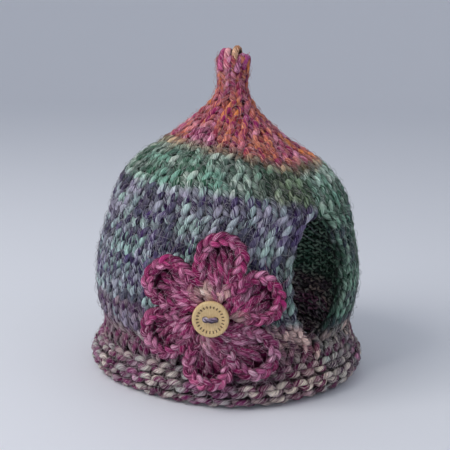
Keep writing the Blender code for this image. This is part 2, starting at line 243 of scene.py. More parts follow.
# The dyed bands of the yarn, from the hem up: top edge in millimetres, then colours of the light
# and the dark ply, as seen on a screen. The three highest are the same all round.
upperBands = (
    (135, ((172, 210, 192), (204, 216, 204), (138, 188, 168)),
     ((52, 98, 74), (38, 76, 56), (64, 86, 76))),
    (139, ((212, 196, 160), (188, 146, 118), (192, 188, 162)),
     ((98, 88, 64), (84, 48, 52), (106, 76, 62))),
    (400, ((230, 140, 76), (222, 134, 110), (226, 148, 180)),
     ((152, 32, 98), (146, 44, 66), (120, 26, 84))),
)
bandValues = {
    "front": (
        (33, ((216, 202, 192), (182, 186, 178), (198, 142, 174)),
         ((108, 24, 76), (82, 26, 66), (120, 36, 90))),
        (50, ((160, 152, 172), (184, 158, 168), (140, 154, 162)),
         ((68, 42, 88), (80, 38, 78), (52, 42, 84))),
        (93, ((170, 206, 198), (186, 186, 204), (184, 210, 206)),
         ((62, 36, 88), (44, 34, 62), (72, 52, 104))),
        (117, ((164, 186, 186), (178, 170, 192), (180, 208, 200)),
         ((56, 32, 80), (42, 30, 58), (66, 46, 96))),
        *upperBands,
    ),
    "back": (
        (33, ((222, 208, 196), (168, 182, 172), (202, 138, 170)),
         ((94, 32, 70), (58, 42, 62), (108, 44, 82))),
        (46, ((198, 170, 160), (166, 176, 162), (206, 184, 172)),
         ((82, 42, 60), (52, 56, 56), (72, 48, 68))),
        (118, ((138, 178, 154), (166, 196, 174), (120, 164, 142)),
         ((34, 68, 50), (40, 76, 58), (46, 56, 70))),
        *upperBands,
    ),
    # on the right of the front panel band 50 is dyed peach, bands 93 and 135 take darker copies of
    # the front colours as painted shade, and band 33 a plummer, darker set, partly painted shade
    "right": {
        33: (((228, 212, 194), (190, 178, 170), (200, 118, 152)),
             ((98, 16, 64), (72, 20, 54), (110, 26, 74))),
        50: (((234, 178, 168), (240, 208, 196), (214, 150, 160)),
             ((98, 28, 64), (66, 32, 56), (114, 42, 74))),
        93: (((136, 164, 154), (148, 146, 158), (142, 170, 158)),
             ((40, 28, 58), (34, 32, 46), (50, 40, 72))),
        135: (((112, 142, 112), (150, 162, 132), (88, 122, 96)),
              ((42, 64, 44), (32, 50, 36), (54, 60, 48))),
    },
    # where the dye runs dark on the front: azimuth, height in millimetres, spread in degrees, tall, strength
    "darkPatches": ((50, 110, 9, 6, 0.75), (34, 112, 5, 5, 0.6), (6, 113, 6, 6, 0.6), (72, 88, 8, 14, 0.35),
                    (30, 72, 7, 5, 0.3), (70, 122, 9, 7, 0.5), (-12, 28, 16, 7, 0.9), (14, 27, 14, 6, 0.85),
                    (40, 26, 14, 5, 0.75), (68, 29, 12, 5, 0.75)),
    "blend": 3.2,           # millimetres over which one band passes into the next
    "climb": (3.0, 7.0),    # millimetres that the bands rise left of the view's middle and sink right of it
    "wander": 1.6,          # millimetres that a band's edge wanders along the yarn
    "darkRuns": 0.85,       # how dark the light ply goes where the dye runs dark
}


def pick(colours, share):
    # a colour between the three, by a share from 0 to 1
    three = np.array([linear(c) for c in colours])
    spot = np.clip(share, 0, 1) * 2
    first = np.clip(1 - spot, 0, 1)[:, None]
    last = np.clip(spot - 1, 0, 1)[:, None]
    return three[0] * first + three[1] * (1 - first - last) + three[2] * last


def bandColours(azimuth, height, length, seed):
    # the colours of both plies at points on the cosy, by height, side and place along the yarn
    values = bandValues
    up = height / mm
    away = apart(azimuth, math.radians(viewValues["azimuth"]))
    left, right = values["climb"]
    level = up + np.where(away > 0, right, left) * np.clip(away / 0.58, -1, 1.2)
    level = np.where(np.abs(away) > 1.9, up, level)
    level = level + values["wander"] * softNoise(length / (19 * mm), seed)
    shareLight = 0.5 + 0.75 * patchNoise(azimuth * 5.5, height / (11 * mm), 5)
    shareLight = shareLight + 0.35 * softNoise(length / (14 * mm), seed + 1)
    shareDark = 0.5 + 0.75 * patchNoise(azimuth * 4.5 + 9, height / (13 * mm), 6)
    shareDark = shareDark + 0.35 * softNoise(length / (17 * mm), seed + 2)
    isBack = (np.abs(apart(azimuth, math.pi)) < math.pi / 2).astype(float)[:, None]
    # where the right-hand colours take over: other dye, and painted shade
    rightward = np.clip((away - 0.12) / 0.35, 0, 1)[:, None]
    light, dark = 0, 0
    for side, weight in (("front", 1 - isBack), ("back", isBack)):
        low = -400
        for top, *plies in values[side]:
            edges = [np.clip(gap / values["blend"] + 0.5, 0, 1) for gap in (level - low, top - level)]
            inside = (edges[0] * edges[1])[:, None] * weight
            own = [pick(plies[0], shareLight), pick(plies[1], shareDark)]
            if side == "front" and top in values["right"]:
                lights, darks = values["right"][top]
                own[0] = own[0] * (1 - rightward) + pick(lights, shareLight) * rightward
                own[1] = own[1] * (1 - rightward) + pick(darks, shareDark) * rightward
            light, dark = light + inside * own[0], dark + inside * own[1]
            low = top
    # here and there a run of a few stitches is dyed dark in both plies
    run = 0.75 * softNoise(length / (23 * mm), seed + 5)
    run = run + 0.45 * patchNoise(azimuth * 7, height / (9 * mm), 15)
    patch = 0
    for where, middle, spread, tall, strength in values["darkPatches"]:
        across = apart(azimuth, math.radians(where)) / math.radians(spread)
        patch = patch + strength * np.exp(-across ** 2 - ((up - middle) / tall) ** 2)
    run = np.clip((run + patch - 0.12) / 0.3, 0, 1) * values["darkRuns"]
    run = run * np.where((height > 35 * mm) & (height < 136 * mm), 1, 0.55)
    run = np.maximum(run, 0.9 * np.clip(patch, 0, 1) * (height < 38 * mm))[:, None]
    return light * (1 - run) + dark * 1.15 * run, dark


def lengthsOf(points):
    return np.concatenate([[0], np.cumsum(np.linalg.norm(np.diff(points, axis=0), axis=1))])


def unit(vectors):
    return vectors / np.linalg.norm(vectors, axis=-1)[..., None]


def ringQuads(rows, after, sides):
    # quads between rings of points: side k and k + 1 of one ring, then k + 1 and k of the ring after it
    k = np.arange(sides)
    nextK = (k + 1) % sides
    row, far = rows[:, None] * sides, after[:, None] * sides
    return np.stack([row + k, row + nextK, far + nextK, far + k], axis=-1).reshape(-1, 4)


def tubes(lines):
    # Each line is carried round as a tube: point + radius * (cos(a) * normal + sin(a) * across).
    # The ends are closed by quads, so a tube is a closed shell.
    sides = yarnValues["sides"]
    angle = (turn * np.arange(sides) / sides)[None, :, None]
    verts, faces, uvs, colours = [], [], [], {"plyLight": [], "plyDark": []}
    offset = 0
    for line in lines:
        points, radius, count = line["points"], line["radius"], len(line["points"])
        length = line["length"] / mm / 10
        if line.get("closed"):
            tangent = unit(np.roll(points, -1, axis=0) - np.roll(points, 1, axis=0))
            rows = np.arange(count)
            far = np.append(length[1:], 2 * length[-1] - length[-2])
        else:
            tangent = unit(np.gradient(points, axis=0))
            rows = np.arange(count - 1)
            far = length[1:]
            radius = radius.copy()
            radius[[0, -1]] *= 0.5
        across = unit(np.cross(tangent, line["normals"]))
        out = np.cross(across, tangent)
        ring = np.cos(angle) * out[:, None] + np.sin(angle) * across[:, None]
        verts.append((points[:, None] + radius[:, None, None] * ring).reshape(-1, 3))
        quads = ringQuads(rows, (rows + 1) % count, sides)
        u = np.broadcast_to(np.arange(sides) / sides, (len(rows), sides))
        v, farV = (np.broadcast_to(each[:, None], u.shape) for each in (length[rows], far))
        uv = np.stack([u, v, u + 1 / sides, v, u + 1 / sides, farV, u, farV], axis=-1).reshape(-1, 4, 2)
        if not line.get("closed"):
            lid = np.array([[j, j + 1, sides - 2 - j, sides - 1 - j] for j in range(sides // 2 - 1)])
            quads = np.concatenate([quads, lid[:, ::-1], lid + (count - 1) * sides])
            uv = np.concatenate([uv] + [np.full((len(lid), 4, 2), length[end]) for end in (0, -1)])
        faces.append(quads + offset)
        uvs.append(uv)
        for key, store in (("light", colours["plyLight"]), ("dark", colours["plyDark"])):
            colour = np.repeat(line[key][:, None], sides, axis=1)
            colour[:, sides // 2] = line.get(key + "Inside", line[key])
            store.append(colour.reshape(-1, 3))
        offset += count * sides
    return np.concatenate(verts), np.concatenate(faces), colours, np.concatenate(uvs)


def makeMesh(name, verts, faces, colours=None, uvs=None):
    mesh = bpy.data.meshes.new(name)
    mesh.from_pydata(verts.tolist(), [], faces if isinstance(faces, list) else faces.tolist())
    if uvs is not None:
        mesh.uv_layers.new(name="yarnWay").data.foreach_set("uv", uvs.astype(np.float32).ravel())
    for key, values in (colours or {}).items():
        rgba = np.ones((len(verts), 4), np.float32)
        rgba[:, :3] = np.concatenate(values) if isinstance(values, list) else values
        mesh.attributes.new(key, "FLOAT_COLOR", "POINT").data.foreach_set("color", rgba.ravel())
    mesh.shade_smooth()
    return mesh


def linkObject(name, data):
    thing = bpy.data.objects.new(name, data)
    bpy.context.scene.collection.objects.link(thing)
    return thing


def addPiece(name, mesh, material, node=None):
    mesh.materials.append(material)
    piece = linkObject(name, mesh)
    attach(piece, "root")
    if node:
        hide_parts(node)
    return piece


def yarnPiece(name, lines, material, node=None):
    return addPiece(name, makeMesh(name, *tubes(lines)), material, node)


# Shader helpers
def feed(tree, socket, value):
    # a number or colour is set on the socket, and another node's output is wired to it
    if isinstance(value, bpy.types.NodeSocket):
        tree.links.new(value, socket)
    else:
        socket.default_value = value


def addNode(tree, kind, inputs=None, **settings):
    node = tree.nodes.new(kind)
    for key, value in settings.items():
        setattr(node, key, value)
    for key, value in (inputs or {}).items():
        feed(tree, node.inputs[key], value)
    return node


def mathNode(tree, operation, *values):
    return addNode(tree, "ShaderNodeMath", dict(enumerate(values)), operation=operation).outputs[0]


def mixColours(tree, share, first, second, blend="MIX"):
    inputs = {0: share, 6: first, 7: second}
    return addNode(tree, "ShaderNodeMix", inputs, data_type="RGBA", blend_type=blend).outputs[2]


def smoothStep(tree, value, low, high, least=0.0, most=1.0):
    inputs = {"Value": value, "From Min": low, "From Max": high, "To Min": least, "To Max": most}
    return addNode(tree, "ShaderNodeMapRange", inputs, interpolation_type="SMOOTHSTEP").outputs[0]


def plyColour(tree, key):
    return addNode(tree, "ShaderNodeAttribute", attribute_name=key).outputs["Color"]


def addBump(tree, height, strength, distance):
    relief = addNode(tree, "ShaderNodeBump", {"Height": height, "Strength": strength, "Distance": distance})
    feed(tree, tree.nodes["Principled BSDF"].inputs["Normal"], relief.outputs[0])


def newMaterial(name, inputs):
    # a material whose shader has these values, with its node tree and the shader's sockets
    material = bpy.data.materials.new(name)
    material.use_nodes = True
    tree = material.node_tree
    sockets = tree.nodes["Principled BSDF"].inputs
    for key, value in inputs.items():
        sockets[key].default_value = value
    return material, tree, sockets


def makeMarlGroup():
    # Two plies twisted round each other, each spun from fibres of several shades. The sides of a
    # strand, which its neighbours shade, and the groove between the plies are painted darker: painted shade.
    group = bpy.data.node_groups.new("twistedMarl", "ShaderNodeTree")
    for name, kind, value in (
        ("Yarn Way", "NodeSocketVector", None),
        ("Light Ply", "NodeSocketColor", None),
        ("Dark Ply", "NodeSocketColor", None),
        ("Ply Pitch", "NodeSocketFloat", 1.1),
        ("Light Share", "NodeSocketFloat", 0.15),
        ("Fibre Fineness", "NodeSocketFloat", 4.0),
        ("Side Shade", "NodeSocketFloat", 0.45),
        ("Pale Hairs", "NodeSocketFloat", 0.5),
    ):
        socket = group.interface.new_socket(name=name, in_out="INPUT", socket_type=kind)
        if value is not None:
            socket.default_value = value
    group.interface.new_socket(name="Colour", in_out="OUTPUT", socket_type="NodeSocketColor")
    group.interface.new_socket(name="Height", in_out="OUTPUT", socket_type="NodeSocketFloat")
    given = addNode(group, "NodeGroupInput").outputs
    result = addNode(group, "NodeGroupOutput").inputs

    def sums(operation, *values):
        return mathNode(group, operation, *values)

    way = addNode(group, "ShaderNodeSeparateXYZ", {0: given["Yarn Way"]}).outputs
    twist = sums("DIVIDE", way[1], given["Ply Pitch"])
    angle = sums("MULTIPLY", sums("ADD", way[0], twist), turn)
    sine = sums("SINE", angle)
    place = {0: sums("COSINE", angle), 1: sine, 2: sums("MULTIPLY", way[1], 0.5)}
    place = addNode(group, "ShaderNodeCombineXYZ", place).outputs[0]

    def fibreNoise(fineness, detail):
        scale = sums("MULTIPLY", given["Fibre Fineness"], fineness)
        inputs = {"Vector": place, "Scale": scale, "Detail": detail, "Roughness": 0.6}
        return addNode(group, "ShaderNodeTexNoise", inputs).outputs["Fac"]

    strands, hairs, drift = fibreNoise(0.8, 2.0), fibreNoise(1.5, 2.0), fibreNoise(0.2, 0.0)
    wave = sums("MULTIPLY_ADD", sine, 0.75, given["Light Share"])
    wave = sums("ADD", wave, sums("MULTIPLY_ADD", strands, 6.0, -3.0))
    wave = sums("ADD", wave, sums("MULTIPLY_ADD", drift, 2.0, -1.0))
    ply = mixColours(group, smoothStep(group, wave, -0.35, 0.35), given["Dark Ply"], given["Light Ply"])
    # single pale hairs lie over both plies
    pale = smoothStep(group, hairs, 0.56, 0.7, 0.0, given["Pale Hairs"])
    hairColour = mixColours(group, 0.42, given["Light Ply"], (0.8, 0.74, 0.78, 1.0))
    ply = mixColours(group, pale, ply, hairColour)
    # painted shade in the groove between the two plies
    grooveShade = smoothStep(group, sums("ABSOLUTE", sine), 0.0, 0.5, 0.7)
    # the sides are shaded, but not the side turned to the hollow, which is seen only from inside
    crest = sums("COSINE", sums("MULTIPLY", way[0], turn))
    side = smoothStep(group, crest, -0.2, 0.85, given["Side Shade"])
    inner = smoothStep(group, sums("MULTIPLY", crest, -1.0), 0.68, 0.95)
    streak = sums("MULTIPLY_ADD", hairs, 3.6, -0.75)
    shade = sums("MULTIPLY", sums("MULTIPLY", grooveShade, streak), sums("MAXIMUM", side, inner))
    grey = addNode(group, "ShaderNodeCombineXYZ", {0: shade, 1: shade, 2: shade}).outputs[0]
    feed(group, result["Colour"], mixColours(group, 1.0, ply, grey, "MULTIPLY"))
    height = sums("MULTIPLY_ADD", sums("ABSOLUTE", sine), 0.6, sums("MULTIPLY", hairs, 1.2))
    feed(group, result["Height"], height)
    return group


def yarnMaterial(name, plyPitch, lightShare, fineness, sideShade, paleHairs):
    material, tree, sockets = newMaterial(name, {
        "Roughness": 0.92,
        "Specular IOR Level": 0.12,
        "Sheen Weight": 0.08,
        "Sheen Roughness": 0.5,
    })
    marl = addNode(tree, "ShaderNodeGroup", node_tree=marlGroup)
    inputs = {
        "Yarn Way": addNode(tree, "ShaderNodeUVMap", uv_map="yarnWay").outputs[0],
        "Light Ply": plyColour(tree, "plyLight"),
        "Dark Ply": plyColour(tree, "plyDark"),
        "Ply Pitch": plyPitch,
        "Light Share": lightShare,
        "Fibre Fineness": fineness,
        "Side Shade": sideShade,
        "Pale Hairs": paleHairs,
    }
    for key, value in inputs.items():
        feed(tree, marl.inputs[key], value)
    feed(tree, sockets["Base Color"], marl.outputs["Colour"])
    addBump(tree, marl.outputs["Height"], 0.6, 0.0008)
    return material


marlGroup = makeMarlGroup()
# the pitch is the yarn, in centimetres, in which the two plies go once round
knitYarn = yarnMaterial("marledKnittingYarn", 1.5, 0.28, 4.2, 0.12, 0.6)
hemYarn = yarnMaterial("marledHemYarn", 1.0, -0.05, 4.6, 0.12, 0.7)
crochetYarn = yarnMaterial("marledCrochetYarn", 1.5, -0.1, 5.4, 0.2, 1.0)
print("yarn materials made")


def stitchRow(count, values, ends=(-1, 1, -1)):
    # One row of loops: x = t/turn + swing*sin(2t) - skew*cos(t) in stitches, y = -cos(t),
    # and depth foot at the foot, leg on the legs and head at the head of each loop.
    foot, leg, head = ends
    t = np.linspace(0, turn * count, yarnValues["pointsPerStitch"] * count + 1)
    x = t / turn + values["swing"] * np.sin(2 * t) - values["skew"] * np.cos(t)
    turned = np.where(np.cos(t) > 0, foot, head)
    depth = leg * np.sin(t) ** 2 + turned * np.cos(t) ** 2 - values["lift"] * np.sin(t)
    return x, -np.cos(t), depth


def yarnLine(azimuth, along, depth, seed, radius, shade, closed=False):
    # A line of yarn on the cosy with its colours, slightly uneven in thickness and place. shade is
    # how much light reaches each point, painted into the ply colours as painted shade: less where a
    # loop goes behind its neighbours.
    flat, _ = onCloth(azimuth, along, depth)
    length = lengthsOf(flat) + np.random.default_rng(seed).uniform(0, 2000) * mm
    wobble = softNoise(length / (9 * mm), seed + 20)
    rise = softNoise(length / (13 * mm), seed + 21)
    azimuthNow = azimuth + wobble * 0.28 * mm / 0.075
    points, normals = onCloth(azimuthNow, along + rise * 0.35 * mm, depth + 0.22 * mm * wobble)
    if closed:
        points, normals, length = points[:-1], normals[:-1], length[:-1]
        azimuth, shade = azimuth[:-1], shade[:-1]
    thick = radius * (1 + yarnValues["unevenness"] * softNoise(length / (11 * mm), seed + 22))
    light, dark = bandColours(azimuth, points[:, 2], length, seed)
    k = shade[:, None]
    return {"points": points, "normals": normals, "radius": thick, "length": length, "closed": closed,
            "light": light * k + dark * 0.4 * (1 - k), "dark": dark * (0.25 + 0.75 * k),
            "lightInside": light, "darkInside": dark}


def loopShade(depth):
    # painted shade: 1 on what stands out, down to yarnValues' behind on what lies at the back
    share = np.clip(0.4 + 0.5 * depth, 0, 1)
    return yarnValues["behind"] + (1 - yarnValues["behind"]) * share * share * (3 - 2 * share)


# The garter-stitch brim: rounds of plain and purl in turn, so heads and feet stand out as bumps
brimValues = {
    "stitches": 50,
    "rows": 8,
    "garterRows": 6,        # and stocking stitch above them
    "garterEnds": ((-1, -0.5, 1), (1.1, -0.9, -1)),     # depth of foot, legs and head, plain and purl
    "stockingDepth": 0.8,
    "top": 34.6 * mm,
    "reach": 0.98,          # how far a loop reaches past the middle of its row, in rows
    "hemReach": 0.3,        # and below the middle of the lowest row
    "rowShift": 0.13,       # stitches that each row starts further round
    "swing": 0.21,
    "skew": 0.09,
    "lift": 0.0,
    "flat": 0.6,
    "radius": 2.05 * mm,
    "depth": 2.0 * mm,
    "seat": -3.8 * mm,
    "start": math.radians(200),
    "lowest": 2.15 * mm,    # the height of the lowest yarn's middle
    "settle": 14 * mm,      # how high the loops give way as the hem settles
}


def ridgeRise(along):
    height = heightAt(along)
    wave = 0.5 - 0.5 * np.cos(turn * profileValues["ridges"] * height / profileValues["brimTop"])
    return np.where(height < profileValues["brimTop"], profileValues["ridgeRise"] * wave, 0)


def makeBrim():
    values = brimValues
    pitch = values["top"] / values["rows"]
    lines = []
    for row in range(values["rows"]):
        if row < values["garterRows"]:
            x, y, depth = stitchRow(values["stitches"], values, values["garterEnds"][row % 2])
            y = np.sign(y) * np.abs(y) ** values["flat"]
        else:
            x, y, depth = stitchRow(values["stitches"], panelValues)
            depth = depth * values["stockingDepth"]
        reach = np.where((row == 0) & (y < 0), values["hemReach"], values["reach"])
        along = (row + 0.5) * pitch + y * reach * pitch
        azimuth = values["start"] + turn * (x + values["rowShift"] * row) / values["stitches"]
        sunk = values["seat"] + values["depth"] * depth + ridgeRise(along)
        # painted shade: the deeper a loop lies, the darker, down to 0.12 of the yarn's colour
        shade = 0.12 + 0.88 * loopShade(depth + 0.2)
        lines.append(yarnLine(azimuth, along, sunk, 100 + row, values["radius"], shade, closed=True))
    # the lowest loops settle on the table
    least = min(line["points"][:, 2].min() for line in lines)
    for line in lines:
        z = line["points"][:, 2]
        give = np.clip(1 - (z - least) / values["settle"], 0, 1)
        line["points"][:, 2] = z - (least - values["lowest"]) * give
    return yarnPiece("brimYarn", lines, hemYarn)


# The two panels in stocking stitch, knitted back and forth between the slits
panelValues = {
    "stitches": 25,
    "rows": 14,
    "low": 31 * mm,
    "high": 106 * mm,
    "swing": 0.2,
    "skew": 0.06,
    "lift": 0.42,
    "reach": 0.9,
    "depth": 1.5 * mm,
    "seat": -3.5 * mm,
    "edge": 2.2 * mm,
}


def makePanel(side, name, seed):
    values = panelValues
    low, high = alongAt(values["low"]), alongAt(values["high"])
    pitch = (high - low) / values["rows"]
    rows = []
    for row in range(values["rows"]):
        x, y, depth = stitchRow(values["stitches"], values)
        along = low + (row + 0.5) * pitch + y * pitch * values["reach"]
        height = heightAt(along)
        start, end = panelEdges(side, height)
        inset = values["edge"] / radiusAt(height)
        share = np.clip(x / values["stitches"], 0, 1)
        azimuth = start + inset + (end - start - 2 * inset) * share
        if row % 2:
            azimuth, along, depth = azimuth[::-1], along[::-1], depth[::-1]
        rows.append((azimuth, along, values["seat"] + values["depth"] * depth, loopShade(depth)))
    # each row turns into the next in a small bend at the slit, which bulges by so much in azimuth,
    # along the cloth, in depth and in shade
    joined = [[part] for part in rows[0]]
    share = np.array([0.25, 0.5, 0.75])
    for row in range(1, values["rows"]):
        outward = 1 if row % 2 else -1
        bulges = (outward * 0.022, 0.0, 0.6 * mm, 0.3)
        for part, before, after, bulge in zip(joined, rows[row - 1], rows[row], bulges):
            part.append(before[-1] + (after[0] - before[-1]) * share + bulge * np.sin(math.pi * share))
            part.append(after)
    azimuth, along, depth, shade = (np.concatenate(part) for part in joined)
    line = yarnLine(azimuth, along, depth, seed, yarnValues["radius"], shade)
    return yarnPiece(name, [line], knitYarn)


# The crown: rounds of stocking stitch that narrow at the end of each section
crownValues = {
    # sections, stitches in each, and how many such rounds
    "rounds": ((8, 6, 4), (8, 5, 3), (8, 4, 2), (8, 3, 2), (4, 5, 2), (4, 4, 1), (4, 3, 1), (4, 2, 1)),
    "low": 106 * mm,
    "high": 165.5 * mm,
    "radius": 2.2 * mm,
    "start": math.radians(200),
}


def makeCrown():
    values = panelValues
    low, high = alongAt(crownValues["low"]), alongAt(crownValues["high"])
    rounds = [(sections, each) for sections, each, times in crownValues["rounds"] for _ in range(times)]
    pitch = (high - low) / len(rounds)
    lines = []
    for row, (sections, each) in enumerate(rounds):
        x, y, depth = stitchRow(sections * each, values)
        below = rounds[max(row - 1, 0)][0] * rounds[max(row - 1, 0)][1] / sections
        # the feet of the last loop in each section hold the loops that are drawn together
        section = np.floor(x / each)
        inside = x - section * each
        feet = np.where(inside < each - 1, inside, inside + (below - each) * (inside - each + 1)) / below
        foot = 0.5 - 0.5 * y
        spot = section + foot * feet + (1 - foot) * (inside / each)
        azimuth = crownValues["start"] + turn * spot / sections
        along = low + (row + 0.5) * pitch + y * pitch * values["reach"]
        sunk = values["seat"] + values["depth"] * depth
        # painted shade at the back of the loops, shallower above 130 mm
        least = 0.02 + 0.23 * np.clip((heightAt(along) - 130 * mm) / (8 * mm), 0, 1)
        shade = least + (1 - least) * loopShade(depth)
        lines.append(yarnLine(azimuth, along, sunk, 300 + row, crownValues["radius"], shade, closed=True))
    return yarnPiece("crownYarn", lines, knitYarn)


# The stalk: a narrow tube of eight stitches, with loops drawn together over its end
stalkValues = {
    "stitches": 8,
    "rows": 6,
    "low": 164.5 * mm,
    "high": 190 * mm,
    "phase": 37.1,
    "swing": 0.27,
    "skew": 0.05,
    "lift": 0.2,
    "reach": 0.9,
    "radius": 1.72 * mm,
    "depth": 1.0 * mm,
    "seat": -2.4 * mm,
    "lean": 0.8 * mm,
    # each loop over the end: right, towards the camera and height of its points, in millimetres
    "loops": (
        ((-6.9, 6.4, 182), (-7.0, 6.2, 187), (-6.4, 5.0, 191.4), (-5.4, 2.0, 193.6), (-4.4, -1.5, 192.8),
         (-3.6, -5.0, 189)),
        ((-3.4, 8.4, 183), (-3.8, 8.2, 187.5), (-3.6, 6.4, 191.6), (-3.0, 3.4, 193.8), (-2.2, -1.0, 193),
         (-2.0, -5.0, 189.5)),
        ((0.4, 8.6, 187.0), (0.7, 7.2, 191), (1.4, 4.2, 194.4), (2.4, 0.6, 195.4), (3.2, -2.6, 194),
         (3.6, -5.5, 190)),
        ((2.0, 9.2, 181.5), (2.6, 9.0, 185), (3.6, 7.8, 188.6), (5.0, 5.0, 190.8), (6.0, 1.0, 190.6),
         (6.4, -3.0, 187)),
        ((5.2, 7.4, 183), (6.2, 6.6, 187.2), (7.2, 4.8, 189.8), (8.2, 2.2, 190.2), (8.6, -0.5, 188.4),
         (8.2, -3.0, 184.6)),
        ((-5.0, -6.5, 183), (-4.6, -5.4, 188.6), (-2.6, -4.0, 191.6), (0.4, -4.4, 192.4), (3.0, -5.8, 190),
         (4.0, -7.0, 184)),
    ),
    "loopPoints": 30,
    "loopMiddle": 184 * mm,     # the loops' outer sides face away from the axis at this height
    "loopRadius": 2.2 * mm,
    # the colours of both plies in each loop
    "light": ((200, 96, 140), (228, 164, 168), (220, 174, 140),
              (204, 130, 164), (184, 76, 142), (214, 124, 70)),
    "dark": ((146, 44, 96), (186, 84, 110), (186, 112, 66),
             (118, 22, 76), (116, 20, 74), (130, 34, 84)),
}


def smoothPath(points, count):
    # a Catmull-Rom curve through a few points
    p = np.array(points, float)
    p = np.concatenate([[2 * p[0] - p[1]], p, [2 * p[-1] - p[-2]]])
    t = np.linspace(0, len(p) - 3 - 1e-6, count)
    k = np.floor(t).astype(int)
    f = (t - k)[:, None]
    a, b, c, d = p[k], p[k + 1], p[k + 2], p[k + 3]
    square, cube = (2 * a - 5 * b + 4 * c - d) * f ** 2, (3 * b - a - 3 * c + d) * f ** 3
    return 0.5 * (2 * b + (c - a) * f + square + cube)


def makeStalk():
    values = stalkValues
    low, high = alongAt(values["low"]), alongAt(values["high"])
    pitch = (high - low) / values["rows"]
    lines = []
    for row in range(values["rows"]):
        x, y, depth = stitchRow(values["stitches"], values)
        azimuth = math.radians(values["phase"]) + turn * x / values["stitches"]
        along = low + (row + 0.5) * pitch + y * pitch * values["reach"]
        sunk = values["seat"] + values["depth"] * depth
        shade = loopShade(depth)
        lines.append(yarnLine(azimuth, along, sunk, 400 + row, values["radius"], shade, closed=True))
    a = math.radians(viewValues["azimuth"])
    ways = np.array([[math.cos(a), math.sin(a), 0], [math.sin(a), -math.cos(a), 0], [0, 0, 1]])
    for k, loop in enumerate(values["loops"]):
        points = smoothPath(loop, values["loopPoints"]) * mm @ ways + values["lean"] * leanWay
        line = {
            "points": points,
            "normals": points - np.array([0, 0, values["loopMiddle"]]),
            "radius": np.full(len(points), values["loopRadius"]),
            "length": lengthsOf(points) + k * 37 * mm,      # so that no two loops have the same marl
        }
        for key in ("light", "dark"):
            line[key] = np.tile(linear(values[key][k]), (len(points), 1))
        lines.append(line)
    return yarnPiece("stalkYarn", lines, knitYarn)


knitPieces = [
    makeBrim(),
    makePanel("front", "frontPanelYarn", 200),
    makePanel("back", "backPanelYarn", 240),
    makeCrown(),
    makeStalk(),
]
print("knitting made:", sum(len(piece.data.polygons) for piece in knitPieces) * 2, "triangles")

# The cloth that the loops make up, seen between them and from inside: one thin closed sheet. Its
# outer face is darkened as painted shade where it shows between the loops.
clothValues = {
    "outer": -4.2 * mm,
    "inner": -5.4 * mm,
    "columns": 72,
    "levels": (12, 42, 44),     # below the slits, beside them and above them
    "low": 1.2 * mm,
    "top": 193 * mm,
    "least": 0.9 * mm,      # no point lies lower
    # painted shade: the outer face takes this share of the yarn's colours
    "shade": 0.22,
    "tipLight": (0.4, 0.12, 0.14),
    "tipDark": (0.2, 0.02, 0.07),
}


def clothMaterial():
    material, tree, sockets = newMaterial("clothBehindLoops", {"Roughness": 0.95, "Specular IOR Level": 0.1})
    place = addNode(tree, "ShaderNodeTexCoord").outputs["Object"]
    fibres = {"Vector": place, "Scale": 420.0, "Detail": 4.0}
    fibres = addNode(tree, "ShaderNodeTexNoise", fibres).outputs["Fac"]
    share = {"Value": fibres, "From Min": 0.42, "From Max": 0.62}
    share = addNode(tree, "ShaderNodeMapRange", share).outputs[0]
    colour = mixColours(tree, share, plyColour(tree, "plyDark"), plyColour(tree, "plyLight"))
    feed(tree, sockets["Base Color"], colour)
    addBump(tree, fibres, 0.5, 0.0006)
    return material


